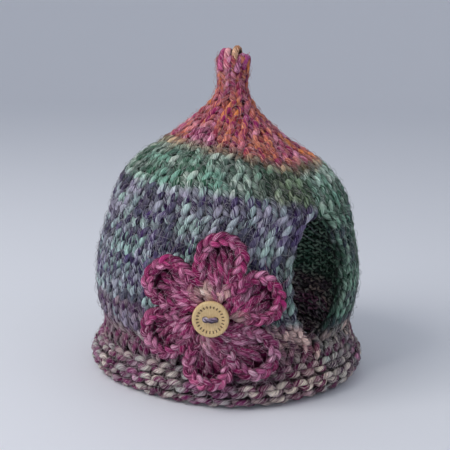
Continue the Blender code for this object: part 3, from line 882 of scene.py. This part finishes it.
def makeCloth():
    values = clothValues
    slitLow, slitHigh = alongAt(panelValues["low"]), alongAt(panelValues["high"])
    below, beside, above = values["levels"]
    levels = np.concatenate([
        np.linspace(alongAt(values["low"]), slitLow, below)[:-1],
        np.linspace(slitLow, slitHigh, beside),
        np.linspace(slitHigh, alongAt(values["top"]), above)[1:],
    ])
    columns, height = values["columns"], heightAt(levels)
    share = np.linspace(0, 1, columns + 1)
    along = np.repeat(levels[:, None], columns + 1, axis=1)
    verts, faces, colours, index = [], [], {"plyLight": [], "plyDark": []}, {}
    total = 0
    for side, slits in (("front", ("spout", "handle")), ("back", ("handle", "spout"))):
        start, end = panelEdges(side, height)
        azimuth = start[:, None] + (end - start)[:, None] * share
        for layer in ("outer", "inner"):
            points, _ = onCloth(azimuth, along, values[layer])
            points[..., 2] = np.maximum(points[..., 2], values["least"])
            grid = total + np.arange(azimuth.size).reshape(azimuth.shape)
            index[side, layer] = grid
            total += azimuth.size
            verts.append(points.reshape(-1, 3))
            light, dark = bandColours(azimuth.ravel(), verts[-1][:, 2], azimuth.ravel() * 0.08, 500)
            upper = np.clip((verts[-1][:, 2:] - 130 * mm) / (12 * mm), 0, 1)
            # painted shade: the outer face darker, less so in the crown; the inner face nearly its own colour
            shade = values["shade"] + 0.4 * upper if layer == "outer" else 0.9
            colours["plyLight"].append(light * shade)
            colours["plyDark"].append(dark * shade)
            quad = [grid[:-1, :-1], grid[:-1, 1:], grid[1:, 1:], grid[1:, :-1]]
            quad = np.stack(quad, axis=-1).reshape(-1, 4)
            faces.append(quad if layer == "outer" else quad[:, ::-1])
        outer, inner = index[side, "outer"], index[side, "inner"]
        faces.append(np.stack([inner[0, :-1], inner[0, 1:], outer[0, 1:], outer[0, :-1]], axis=-1))
        for column, slit in zip((0, -1), slits):
            gap = halfSlit(slit, height) > 1e-6
            rows = np.nonzero(gap[:-1] | gap[1:])[0]
            after = rows + 1
            edge = [outer[rows, column], outer[after, column], inner[after, column], inner[rows, column]]
            strip = np.stack(edge, axis=-1)
            faces.append(strip[:, ::-1] if column == 0 else strip)
    # the end of the stalk, closed by one point on each layer
    for layer, lift in (("outer", 0.8 * mm), ("inner", 0.0)):
        tip, _ = onCloth(np.zeros(1), levels[-1:], np.array([values[layer]]))
        verts.append((stalkValues["lean"] * leanWay + np.array([0, 0, tip[0, 2] + lift]))[None])
        colours["plyLight"].append(np.array([values["tipLight"]]))
        colours["plyDark"].append(np.array([values["tipDark"]]))
        for side in ("front", "back"):
            ring = index[side, layer][-1]
            pole = np.full(columns, total)
            fan = np.stack([ring[:-1], ring[1:], pole, pole], axis=-1)
            faces.append(fan if layer == "outer" else fan[:, [1, 0, 2, 3]])
        total += 1
    faces = [face[:3] if face[2] == face[3] else face for face in np.concatenate(faces).tolist()]
    mesh = makeMesh("clothBacking", np.concatenate(verts), faces, colours)
    work = bmesh.new()
    work.from_mesh(mesh)
    bmesh.ops.remove_doubles(work, verts=work.verts, dist=1e-6)
    bmesh.ops.recalc_face_normals(work, faces=work.faces)
    work.to_mesh(mesh)
    work.free()
    piece = addPiece("clothBacking", mesh, clothMaterial(), "cosy")


makeCloth()
print("cloth made")

# Fine loose fibres that stand off the yarn
fuzzValues = {
    "count": 7600,
    "points": 5,
    "length": (4 * mm, 13 * mm),
    "stand": (0.5 * mm, 3.6 * mm),
    "thick": 0.1 * mm,
    "paler": 0.24,
    "margin": 0.06,         # radians beside a slit where no fibre starts
}


def fuzzMaterial():
    material, tree, sockets = newMaterial("looseFibre", {"Roughness": 0.8, "Specular IOR Level": 0.2})
    place = addNode(tree, "ShaderNodeTexCoord").outputs["Object"]
    tone = addNode(tree, "ShaderNodeTexNoise", {"Vector": place, "Scale": 260.0}).outputs["Fac"]
    share = mathNode(tree, "MULTIPLY_ADD", tone, 0.9, -0.2)
    colour = mixColours(tree, share, plyColour(tree, "plyLight"), (0.62, 0.58, 0.58, 1.0))
    feed(tree, sockets["Base Color"], colour)
    return material


def hairPiece(name, points, radius, light):
    # many short three-sided tubes at once, each drawn out to a point at both ends
    count, steps = points.shape[:2]
    tangent = unit(np.gradient(points, axis=1))
    side = unit(np.cross(tangent, np.array([0.3, 0.2, 0.93])))
    other = np.cross(tangent, side)
    taper = radius * (0.3 + 0.7 * np.sin(math.pi * np.linspace(0, 1, steps)))[None, :, None, None]
    angle = turn * np.arange(3) / 3
    ring = np.cos(angle)[:, None] * side[:, :, None] + np.sin(angle)[:, None] * other[:, :, None]
    verts = (points[:, :, None] + taper * ring).reshape(-1, 3)
    rows = (np.arange(count)[:, None] * steps + np.arange(steps - 1)).ravel()
    mesh = makeMesh(name, verts, ringQuads(rows, rows + 1, 3), {"plyLight": np.repeat(light, 3, axis=0)})
    addPiece(name, mesh, fibreMaterial)


def makeFuzz():
    # each fibre is a low arch over the yarn: a short way round and up, with a rise of sin(pi t)
    values = fuzzValues
    random = np.random.default_rng(77)
    tries, steps, top = 3 * values["count"], values["points"], alongAt(clothValues["top"])
    along = random.uniform(2 * mm, top, tries)
    keep = random.uniform(0, 0.085, tries) < np.interp(along, fineAlong, fineRadius)
    along = along[keep][:values["count"]]
    azimuth = random.uniform(0, turn, len(along))
    bare = np.zeros(len(along), bool)
    for slit, middle in (("handle", math.pi / 2), ("spout", -math.pi / 2)):
        bare |= np.abs(apart(azimuth, middle)) < halfSlit(slit, heightAt(along)) + values["margin"]
    azimuth, along = azimuth[~bare][:, None], along[~bare][:, None]
    number = len(along)
    t = np.linspace(0, 1, steps)[None]
    length = random.uniform(*values["length"], (number, 1))
    heading = random.uniform(0, turn, (number, 1))
    curl = random.uniform(-1.6, 1.6, (number, 1))
    stand = random.uniform(*values["stand"], (number, 1)) * random.uniform(0.2, 1, (number, 1))
    acrossWay = length * (t * np.cos(heading) + curl * 0.25 * t * t * np.sin(heading))
    upWay = length * (t * np.sin(heading) - curl * 0.25 * t * t * np.cos(heading))
    spot = azimuth + acrossWay / np.interp(along, fineAlong, fineRadius)
    level = np.clip(along + upWay, 2 * mm, top)
    points, _ = onCloth(spot, level, -0.7 * mm + stand * np.sin(math.pi * t * 0.85))
    points[..., 2] = np.maximum(points[..., 2], 0.3 * mm)
    light, _ = bandColours(spot.ravel(), points[..., 2].ravel(), np.repeat(length.ravel(), steps), 900)
    light = light * (1 - values["paler"]) + 0.5 * values["paler"]
    hairPiece("looseFibres", points, values["thick"], light)


fibreMaterial = fuzzMaterial()
makeFuzz()
print("loose fibres made")

# The crocheted flower: six cupped petals with a braided rim and twisted posts inside
flowerValues = {
    "azimuth": math.radians(41.3),
    "height": 53.5 * mm,
    "gap": 0.5 * mm,
    "bridge": 80 * mm,
    "notch": 22 * mm,
    # each petal's direction in degrees and its reach in millimetres
    "petals": ((24, 40.5), (83, 46.5), (143, 43.5), (204, 41), (266, 41), (316, 45)),
    "petalFoot": 11 * mm,
    "petalHalf": 10.6 * mm,
    "rimGap": 0.12,
    "rimPoints": 150,
    "rimStrand": 1.75 * mm,
    "rimWidth": 2.3 * mm,
    "rimDepth": 1.2 * mm,
    "rimLift": (2.6 * mm, 5.6 * mm),    # at the foot and at the tip
    "braidLength": 15.5 * mm,
    "postStrand": 1.6 * mm,
    "postTwist": 15 * mm,
    "postStart": 8.5 * mm,
    "postFan": 1.9,
    "posts": 7,
    "lights": ((210, 72, 138), (236, 160, 196), (184, 48, 120)),
    "darks": ((146, 26, 90), (100, 16, 62), (124, 28, 82)),
    # painted shade: far darker than the yarn, for the ground seen in the hollows between the strands
    "groundShadeDarks": ((60, 14, 40), (48, 12, 34), (70, 20, 46)),
    "heartLights": ((255, 240, 220), (250, 208, 190), (255, 248, 236)),
    "heartDarks": ((248, 226, 204), (238, 178, 164), (250, 234, 214)),
    # where the yarn runs cream near the button: direction, spread in degrees, and strength
    "heart": ((108, 17, 1.0), (64, 8, 0.75), (3, 9, 0.4), (262, 10, 0.3)),
    "heartReach": 17.5 * mm,
    "paleLights": ((206, 150, 178), (226, 190, 206), (182, 100, 144)),
    "palePetals": {3: 0.35, 4: 0.25, 5: 0.85},     # how pale the yarn runs in the lower petals
    "palePost": {0: 2, 1: 4, 4: 3},                # one pale post in some petals
    "baseGrid": (144, 14),
    "fibres": 300,
    "fibreColours": ((226, 150, 186), (196, 84, 142), (236, 200, 214)),
}


def onFlower(direction, distance, lift):
    # a place on the flower, wrapped round the cosy at a height above its face
    values = flowerValues
    height = values["height"] + distance * np.sin(direction)
    ring = float(smoothCurve(values["height"], "radius"))
    azimuth = values["azimuth"] + distance * np.cos(direction) / ring
    cloth = smoothCurve(height, "radius") + bulging(azimuth, height)
    cloth = cloth + np.where(height < profileValues["brimTop"], profileValues["ridgeRise"], 0)
    cloth = np.where(height < values["height"], np.maximum(cloth, values["bridge"]), cloth)
    point = ringPoint(azimuth, cloth + values["gap"] + lift, height, smoothCurve(height, "lean"))
    return point, ringPoint(azimuth, 1.0, 0 * azimuth, 0)


def flowerLine(path, sideways, outwards, radius, seed, pale, shade):
    # A strand that runs beside the path (direction, distance, lift), moved sideways and outwards.
    # pale and shade are shares: how pale the yarn runs, and how much light reaches it, painted into
    # the colours as painted shade; the cream heart takes none of it.
    values = flowerValues
    direction, distance, lift = path
    points, normals = onFlower(direction, distance, lift)
    across = unit(np.cross(unit(np.gradient(points, axis=0)), normals))
    length = lengthsOf(points) + np.random.default_rng(seed).uniform(0, 900) * mm
    sideways = sideways + 0.5 * mm * softNoise(length / (8 * mm), seed + 3)
    outwards = outwards + 0.45 * mm * softNoise(length / (7 * mm), seed + 4)
    points = points + sideways[:, None] * across + outwards[:, None] * normals
    share = 0.5 + 0.8 * softNoise(length / (8 * mm), seed)
    light = pick(values["lights"], share) * (1 - pale) + pick(values["paleLights"], share) * pale
    dark = pick(values["darks"], 0.5 + 0.8 * softNoise(length / (17 * mm), seed + 1))
    heart = 0.0 * distance
    for where, spread, strength in values["heart"]:
        off = apart(direction, math.radians(where)) / math.radians(spread)
        heart = heart + strength * np.exp(-off ** 2)
    heart = (heart * np.clip((values["heartReach"] - distance) / (5 * mm) + 0.5, 0, 1))[:, None]
    light = light * (1 - heart) + pick(values["heartLights"], share) * heart
    dark = dark * (1 - heart) + pick(values["heartDarks"], share) * heart
    k = np.maximum(shade[:, None], 0.95 * heart)
    return {"points": points, "normals": normals, "radius": np.full(len(points), radius), "length": length,
            "light": light * k + dark * 0.8 * (1 - k), "dark": dark * (0.62 + 0.38 * k)}


def petalLine(reach, spread, phi):
    # a teardrop round a petal, from its foot at phi 0 over its tip at phi pi, as distance and turn
    foot, tip = flowerValues["petalFoot"], reach - 4.0 * mm
    radial = (foot + tip) / 2 - (tip - foot) / 2 * np.cos(phi)
    across = flowerValues["petalHalf"] * spread * np.sin(phi) * (1 - 0.32 * np.cos(phi))
    return np.hypot(radial, across), np.arctan2(across, radial)


def makeFlower():
    values = flowerValues
    petals, posts, start = values["petals"], values["posts"], values["postStart"]
    lines = []
    for k, (direction, reachMm) in enumerate(petals):
        reach = reachMm * mm
        before = (direction - petals[k - 1][0]) % 360
        after = (petals[(k + 1) % len(petals)][0] - direction) % 360
        spread = (before + after) / 120
        base = math.radians(direction)
        pale = values["palePetals"].get(k, 0)
        # the rim: three strands braided along the teardrop
        phi = np.linspace(values["rimGap"], turn - values["rimGap"], values["rimPoints"])
        distance, aside = petalLine(reach, spread, phi)
        lobe = np.clip(0.5 - 0.5 * np.cos(phi), 0, 1)
        low, high = values["rimLift"]
        path = (base + aside, distance, low + (high - low) * lobe ** 0.7)
        way = lengthsOf(onFlower(*path)[0])
        periods = round(way[-1] / values["braidLength"])
        for strand in range(3):
            phase = turn * (periods * way / way[-1] + strand / 3)
            # painted shade: darker near the petal's foot and where a strand dips in the braid
            shade = (0.25 + 0.75 * lobe ** 0.6) * (0.62 + 0.38 * np.sin(2 * phase))
            sideways, outwards = values["rimWidth"] * np.sin(phase), values["rimDepth"] * np.sin(2 * phase)
            seed = 600 + 10 * k + strand
            lines.append(flowerLine(path, sideways, outwards, values["rimStrand"], seed, pale, shade))
        # the posts: pairs of twisted strands that fan out from the heart to the rim
        fan = math.pi + np.linspace(-values["postFan"], values["postFan"], posts)
        t = np.linspace(0, 1, 34)
        lift = (2.9 + 1.5 * np.sin(math.pi * np.clip(t * 1.5, 0, 1)) - 1.6 * np.clip(t - 0.4, 0, 1)) * mm
        for post, end in enumerate(fan):
            far, farAside = petalLine(reach, spread, np.array([end]))
            distance = start + (far[0] * 0.9 - start) * t
            aside = farAside[0] * (0.5 + 0.5 * t ** 0.8) * 0.88
            postPale = max(pale, 0.8 if post == values["palePost"].get(k) else 0)
            for strand in range(2):
                phase = turn * ((distance - distance[0]) / values["postTwist"] + strand / 2) + post
                # painted shade: darker towards the rim and where a strand turns under, darker still on the
                # two outer posts, where petals meet
                shade = (1 - 0.85 * np.clip(t * 1.3 - 0.35, 0, 1)) * (0.66 + 0.34 * np.sin(phase))
                shade = shade * (0.55 if post in (0, posts - 1) else 1.0)
                sideways, outwards = 1.3 * mm * np.cos(phase), 0.8 * mm * np.sin(phase)
                seed = 700 + 40 * k + 4 * post + strand
                lines.append(flowerLine((base + aside, distance, lift), sideways, outwards,
                                        values["postStrand"], seed, postPale, shade))
    yarnPiece("flowerYarn", lines, crochetYarn, "flower")


def petalEdge(direction):
    # how far the flower reaches in each direction: round lobes that meet at shallow notches
    angles, reaches = np.array(flowerValues["petals"], float).T
    reaches = reaches * mm
    ends = np.append(angles[1:], angles[0] + 360)
    degrees = (np.degrees(direction) - angles[0]) % 360 + angles[0]
    k = np.clip(np.searchsorted(angles, degrees, side="right") - 1, 0, len(angles) - 1)
    share = (degrees - angles[k]) / (ends[k] - angles[k])
    near = np.where(share < 0.5, reaches[k], reaches[(k + 1) % len(angles)])
    lobe = np.cos(math.pi * np.minimum(share, 1 - share)) ** 0.5
    return flowerValues["notch"] + (near - flowerValues["notch"]) * lobe


def makeFlowerBase():
    # the ground of the petals: a thin closed layer, distance = share * edge, thin at its rim. Its
    # colours are the yarn's dark ply and far darker ones, painted shade in the hollows.
    columns, rings = flowerValues["baseGrid"]
    direction = turn * np.arange(columns) / columns
    edge = petalEdge(direction) * 0.9
    back = 0.15 * mm
    top, low = [], []
    for share in np.linspace(0, 1, rings + 1)[1:]:
        bump = 0.35 * mm * np.sin(direction * 36) * share * (share < 1)
        top.append(onFlower(direction, edge * share, 2.1 * mm * (1 - share ** 6) + 0.5 * mm + bump)[0])
        low.append(onFlower(direction, edge * share, np.full(columns, back))[0])
    poles = [onFlower(np.zeros(1), np.zeros(1), np.array([lift]))[0] for lift in (2.6 * mm, back)]
    verts = np.concatenate(top + low[::-1] + poles)
    count, last = len(verts) - 2, (2 * rings - 1) * columns
    rows, k = np.arange(2 * rings - 1), np.arange(columns)
    faces = ringQuads(rows, rows + 1, columns)[:, [0, 3, 2, 1]].tolist()
    pairs = list(zip(k.tolist(), ((k + 1) % columns).tolist()))
    faces += [[count, a, b] for a, b in pairs] + [[count + 1, last + b, last + a] for a, b in pairs]
    share = 0.5 + 0.6 * np.random.default_rng(8).uniform(-1, 1, len(verts))
    colours = {
        "plyLight": pick(flowerValues["darks"], share),
        "plyDark": pick(flowerValues["groundShadeDarks"], share),
    }
    mesh = makeMesh("flowerBase", verts, faces, colours)
    addPiece("flowerBase", mesh, bpy.data.materials["clothBehindLoops"])


def makeFlowerFuzz():
    # fine fibres in low arches over the petals
    values = flowerValues
    random = np.random.default_rng(91)
    number, steps = values["fibres"], fuzzValues["points"]
    direction = random.uniform(0, turn, (number, 1))
    reach = petalEdge(direction.ravel())[:, None]
    distance = 11 * mm + (reach - 10 * mm) * random.uniform(0, 1, (number, 1)) ** 0.7
    t = np.linspace(0, 1, steps)[None]
    length, heading = random.uniform(4 * mm, 11 * mm, (number, 1)), random.uniform(0, turn, (number, 1))
    along = length * (t * np.cos(heading) + 0.2 * t * t * np.sin(heading))
    across = length * (t * np.sin(heading) - 0.2 * t * t * np.cos(heading))
    bump = 5.2 * mm + 2.4 * mm * np.clip((distance - 18 * mm) / (16 * mm), 0, 1)
    lift = bump + random.uniform(0.2 * mm, 1.6 * mm, (number, 1)) * np.sin(math.pi * t * 0.9)
    x, y = distance * np.cos(direction) + along, distance * np.sin(direction) + across
    points, _ = onFlower(np.arctan2(y, x), np.maximum(np.hypot(x, y), 10.6 * mm), lift)
    light = np.repeat(pick(values["fibreColours"], random.uniform(0, 1, number)), steps, axis=0)
    hairPiece("flowerFibres", points, fuzzValues["thick"] * 0.6, light)


makeFlower()
makeFlowerBase()
makeFlowerFuzz()
print("flower made")

# The wooden button and the strand through its two holes
buttonValues = {
    "radius": 10 * mm,
    "thick": 3.4 * mm,
    "round": 1.2 * mm,
    "dish": 0.5 * mm,
    "dishRadius": 7.6 * mm,
    "sides": 96,
    "holeSpacing": 5.6 * mm,
    "holeRadius": 1.7 * mm,
    "seat": 5.9 * mm,          # how far its back lies above the flower's ground
    "tickRing": 7.0 * mm,
    "ticks": 24,
    "tickHalf": 0.075,         # half a tick's length, as a share of the button's radius
    "tickEdge": 0.4,           # the cosine past which a tick begins: nearer 1 is thinner
    "tickInk": 0.95,
    "woodDark": (196, 160, 106),
    "woodLight": (230, 204, 154),
    "burnt": (74, 50, 28),
    "strand": 0.9 * mm,
    "strandApart": 0.68 * mm,
    "strandTwist": 7.5 * mm,
    "strandLights": ((216, 206, 218), (178, 160, 190), (198, 190, 206)),
    "strandDarks": ((150, 122, 152), (168, 138, 170), (132, 108, 140)),
}


def placeOnButton(points):
    # the button's own x, y and z become right, up and outwards on the cosy
    a, height = flowerValues["azimuth"], flowerValues["height"]
    ring = float(smoothCurve(height, "radius") + bulging(a, height))
    radius = ring + flowerValues["gap"] + buttonValues["seat"]
    centre = ringPoint(a, radius, height, float(smoothCurve(height, "lean")))
    ways = np.array([[math.cos(a), math.sin(a), 0], [0, 0, 1], [math.sin(a), -math.cos(a), 0]])
    return centre + points @ ways


def woodMaterial():
    values = buttonValues
    material, tree, sockets = newMaterial("paleTurnedWood", {"Coat Weight": 0.12, "Coat Roughness": 0.35})
    way = addNode(tree, "ShaderNodeUVMap", uv_map="buttonFace").outputs[0]
    # grain: fine streaks along one way, with slow broad bands
    stretch = {"Vector": way, "Scale": (9.0, 1.1, 1.0), "Rotation": (0, 0, 0.5)}
    stretch = addNode(tree, "ShaderNodeMapping", stretch).outputs[0]
    grain = {"Vector": stretch, "Scale": 3.2, "Detail": 5.0, "Distortion": 0.4}
    grain = addNode(tree, "ShaderNodeTexNoise", grain).outputs["Fac"]
    tone = addNode(tree, "ShaderNodeValToRGB", {0: grain})
    for element, position, key in zip(tone.color_ramp.elements, (0.3, 0.7), ("woodDark", "woodLight")):
        element.position = position
        element.color = (*linear(values[key]), 1)
    # a plain ring of burnt ticks: short strokes at one radius, evenly round
    face = addNode(tree, "ShaderNodeSeparateXYZ", {0: way}).outputs
    x, y = face[0], face[1]
    square = mathNode(tree, "ADD", mathNode(tree, "MULTIPLY", x, x), mathNode(tree, "MULTIPLY", y, y))
    angle = mathNode(tree, "MULTIPLY", mathNode(tree, "ARCTAN2", y, x), float(values["ticks"]))
    off = mathNode(tree, "SUBTRACT", mathNode(tree, "SQRT", square), values["tickRing"] / values["radius"])
    onRing = mathNode(tree, "LESS_THAN", mathNode(tree, "ABSOLUTE", off), values["tickHalf"])
    onStroke = mathNode(tree, "GREATER_THAN", mathNode(tree, "COSINE", angle), values["tickEdge"])
    ink = mathNode(tree, "MULTIPLY", mathNode(tree, "MULTIPLY", onRing, onStroke), values["tickInk"])
    colour = mixColours(tree, ink, tone.outputs[0], (*linear(values["burnt"]), 1))
    feed(tree, sockets["Base Color"], colour)
    feed(tree, sockets["Roughness"], mathNode(tree, "MULTIPLY_ADD", grain, 0.25, 0.4))
    addBump(tree, mathNode(tree, "SUBTRACT", grain, ink), 0.25, 0.0002)
    return material


def makeButton():
    # a profile turned round the axis: rounded edge, flat rim and shallow dish, then two drilled holes
    values = buttonValues
    r, high, sides = values["round"], values["thick"], values["sides"]
    flat = values["radius"] - r
    s, a = np.linspace(0, 1, 6), np.radians(np.linspace(0, 90, 7))
    sunk = values["dish"] * (1 - s * s * (3 - 2 * s))
    dish = np.stack([values["dishRadius"] * (0.86 + 0.14 * s), high - sunk])
    rim = np.stack([flat + r * np.sin(a), high - r * (1 - np.cos(a))])
    low = np.stack([flat + r * np.cos(a), r * (1 - np.sin(a))])
    radius, level = np.concatenate([dish, rim, low], axis=1)
    angle, k, rows = turn * np.arange(sides) / sides, np.arange(sides), np.arange(len(radius) - 1)
    turned = np.outer(radius, np.cos(angle)), np.outer(radius, np.sin(angle)), np.outer(level, np.ones(sides))
    quads = ringQuads(rows, rows + 1, sides)[:, [0, 3, 2, 1]]
    faces = quads.tolist() + [k.tolist(), (len(rows) * sides + k[::-1]).tolist()]
    disc = linkObject("turnedDisc", makeMesh("turnedDisc", np.stack(turned, axis=-1).reshape(-1, 3), faces))
    disc.data.shade_flat()
    for side in (-1, 1):
        drill = bmesh.new()
        bmesh.ops.create_cone(drill, cap_ends=True, segments=32, radius1=values["holeRadius"],
                              radius2=values["holeRadius"], depth=3 * high)
        bmesh.ops.translate(drill, verts=drill.verts, vec=(side * values["holeSpacing"] / 2, 0, high / 2))
        cutter = linkObject("drill", bpy.data.meshes.new("drill"))
        drill.to_mesh(cutter.data)
        drill.free()
        cut = disc.modifiers.new("hole", "BOOLEAN")
        cut.operation = "DIFFERENCE"
        cut.object = cutter
    bpy.context.view_layer.update()
    mesh = bpy.data.meshes.new_from_object(disc.evaluated_get(bpy.context.evaluated_depsgraph_get()))
    for thing in [thing for thing in bpy.data.objects if thing.name.startswith(("drill", "turnedDisc"))]:
        bpy.data.objects.remove(thing, do_unlink=True)
    points = np.empty(len(mesh.vertices) * 3)
    mesh.vertices.foreach_get("co", points)
    points = points.reshape(-1, 3)
    corners = np.empty(len(mesh.loops), int)
    mesh.loops.foreach_get("vertex_index", corners)
    face = points[corners][:, :2] / values["radius"]
    mesh.uv_layers.new(name="buttonFace").data.foreach_set("uv", face.astype(np.float32).ravel())
    mesh.vertices.foreach_set("co", placeOnButton(points).astype(np.float32).ravel())
    mesh.shade_smooth()
    mesh.set_sharp_from_angle(angle=math.radians(38))
    mesh.materials.clear()
    mesh.name = "woodButton"
    addPiece("woodButton", mesh, woodMaterial(), "button")


def makeButtonYarn():
    # two strands twisted together, up through one hole, across the face and down the other
    values = buttonValues
    half, low = values["holeSpacing"] / 2, 0.3 * mm
    over = values["thick"] - values["dish"] + 1.35 * mm
    rise = [(half, low), (half, over * 0.55), (half * 0.82, over * 0.93)]
    path = [(-x, 0, z) for x, z in rise] + [(0, 0, over * 1.05)] + [(x, 0, z) for x, z in rise[::-1]]
    path = smoothPath(path, 60)
    way = lengthsOf(path)
    side = np.array([0.0, 1.0, 0.0])
    up = np.cross(side, unit(np.gradient(path, axis=0)))
    lines = []
    for strand in range(2):
        phase = (turn * (way / values["strandTwist"] + strand / 2))[:, None]
        points = path + values["strandApart"] * (np.cos(phase) * side + np.sin(phase) * -up)
        placed = placeOnButton(points)
        lines.append({"points": placed, "normals": (placeOnButton(points + side * mm) - placed) / mm,
                      "radius": np.full(len(points), values["strand"]), "length": way + strand * 30 * mm,
                      "light": pick(values["strandLights"], 0.5 + 0.5 * np.sin(way / mm)),
                      "dark": pick(values["strandDarks"], 0.5 + 0.5 * np.cos(way / mm))})
    yarnPiece("buttonYarn", lines, crochetYarn, "button_yarn")


makeButton()
makeButtonYarn()
print("button made")


def wayTo(azimuth, elevation):
    # outwards from the axis at an azimuth and elevation in degrees
    a, e = math.radians(azimuth), math.radians(elevation)
    return Vector((math.sin(a) * math.cos(e), -math.cos(a) * math.cos(e), math.sin(e)))


def makeStage():
    values = studioValues
    sides = values["floorSides"]
    # a wide dish: flat to flatRadius, then a quarter circle up, so no edge shows from any side
    bend = np.radians(np.linspace(0, 90, 25))
    radius = np.concatenate([[0.2, 1.0], values["flatRadius"] + values["rise"] * np.sin(bend)])
    height = np.concatenate([[0, 0], values["rise"] * (1 - np.cos(bend))])
    around = turn * np.arange(sides) / sides
    points = ringPoint(around, radius[:, None], np.repeat(height[:, None], sides, axis=1), 0).reshape(-1, 3)
    rows = np.arange(len(radius) - 1)
    quads = ringQuads(rows, rows + 1, sides)[:, ::-1]
    floor = linkObject("floor", makeMesh("floor", points, quads.tolist() + [list(range(sides))]))
    inputs = {"Base Color": (*values["floorColour"], 1), "Roughness": 0.7}
    floor.data.materials.append(newMaterial("paleFloor", inputs)[0])
    world = bpy.data.worlds.new("studio")
    world.use_nodes = True
    background = world.node_tree.nodes["Background"]
    background.inputs["Color"].default_value = (*values["worldColour"], 1)
    background.inputs["Strength"].default_value = values["worldStrength"]
    bpy.context.scene.world = world
    bpy.context.scene.view_settings.view_transform = "Standard"


def makeLights():
    values = studioValues
    for name, (around, elevation, distance, power, size, colour) in values["lamps"].items():
        light = bpy.data.lights.new(name, "AREA")
        light.energy, light.size, light.color = power, size, colour
        lamp = linkObject(name, light)
        place = wayTo(viewValues["azimuth"] + around, elevation) * distance
        lamp.location = Vector((0, 0, 0.08)) + place
        lamp.rotation_euler = (-place).to_track_quat("-Z", "Y").to_euler()
    hollow = bpy.data.lights.new("hollowLight", "POINT")
    hollow.energy, hollow.color = values["hollowPower"], values["hollowColour"]
    hollow.shadow_soft_size = values["hollowSize"]
    lamp = linkObject("hollowLight", hollow)
    lamp.location = (0, 0, values["hollowHeight"])
    lamp.visible_camera = False


def makeCamera():
    values = viewValues
    data = bpy.data.cameras.new("camera")
    data.lens = values["lens"]
    data.sensor_width = 36
    data.shift_x = values["shiftX"]
    camera = linkObject("camera", data)
    back = wayTo(values["azimuth"], values["elevation"])
    camera.location = Vector((0, 0, values["targetHeight"])) + back * values["distance"]
    facing = (-back).to_track_quat("-Z", "Y") @ Quaternion((0, 0, 1), math.radians(values["roll"]))
    camera.rotation_euler = facing.to_euler()
    bpy.context.scene.camera = camera


makeStage()
makeLights()
makeCamera()
print("studio made")
